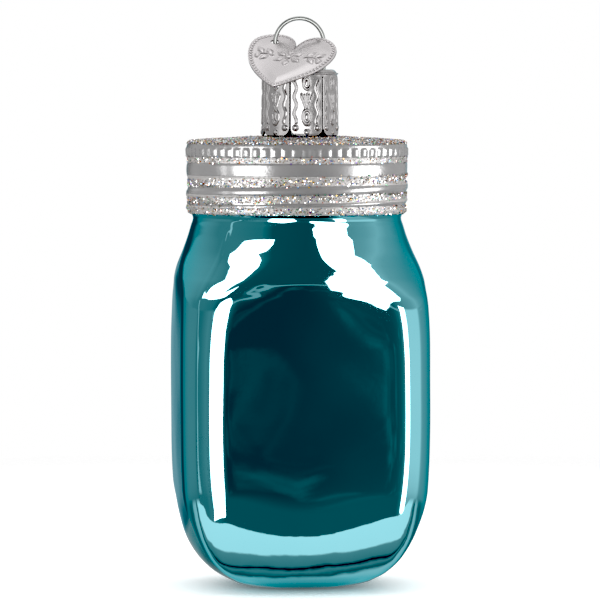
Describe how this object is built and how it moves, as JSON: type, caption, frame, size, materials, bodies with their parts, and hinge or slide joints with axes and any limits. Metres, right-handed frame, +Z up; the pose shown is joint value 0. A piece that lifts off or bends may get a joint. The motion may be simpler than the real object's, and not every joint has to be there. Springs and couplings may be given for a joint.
{
  "type": "hanging glass jar ornament",
  "caption": "Mirrored teal blown-glass ornament shaped like a square canning jar, with a glittered silver lid form, stamped hanger cap, spring-wire loop and small heart tag.",
  "frame": {"origin": "centre of the base's flat spot, in the plane it stands on", "axes": "+Z up along the jar's axis to the hanging loop, -Y out of the front face, the loop's legs along X"},
  "size_m": [0.0424, 0.0424, 0.0982],
  "materials": {
    "clear_glass": "clear blown glass",
    "silvering": "bright mirror film inside the glass",
    "teal_lacquer": "clear teal lacquer, high gloss over the mirror",
    "lid_paint": "satin silver paint",
    "glitter": "fine silver glitter with coloured sparkle",
    "cap_metal": "bright stamped sheet with embossed petals",
    "wire_metal": "bright drawn spring wire",
    "tag_metal": "pale satin metal with a beaded edge"
  },
  "bodies": {
    "glass": {"glass_body": "clear_glass", "mirror_lining": "silvering", "teal_lacquer": "teal_lacquer", "lid_paint": "lid_paint", "glitter_top": "glitter", "glitter_rim": "glitter", "glitter_upper": "glitter", "glitter_middle": "glitter", "glitter_lower": "glitter"},
    "cap": {"hanger_cap": "cap_metal"},
    "wire": {"hanger_wire": "wire_metal"},
    "tag": {"heart_tag": "tag_metal"}
  },
  "joints": [
    {"name": "cap_lift", "type": "slide", "parent": "glass", "child": "cap", "axis": [0, 0, 1], "range_m": [0, 0.03]},
    {"name": "loop_slide", "type": "slide", "parent": "cap", "child": "wire", "axis": [0, 0, 1], "range_m": [0, 0.004]},
    {"name": "tag_swing", "type": "hinge", "parent": "wire", "child": "tag", "pos_m": [-0.00418, 0, 0.0934], "axis": [0, 0, 1], "range_deg": [-130, 0]}
  ]
}
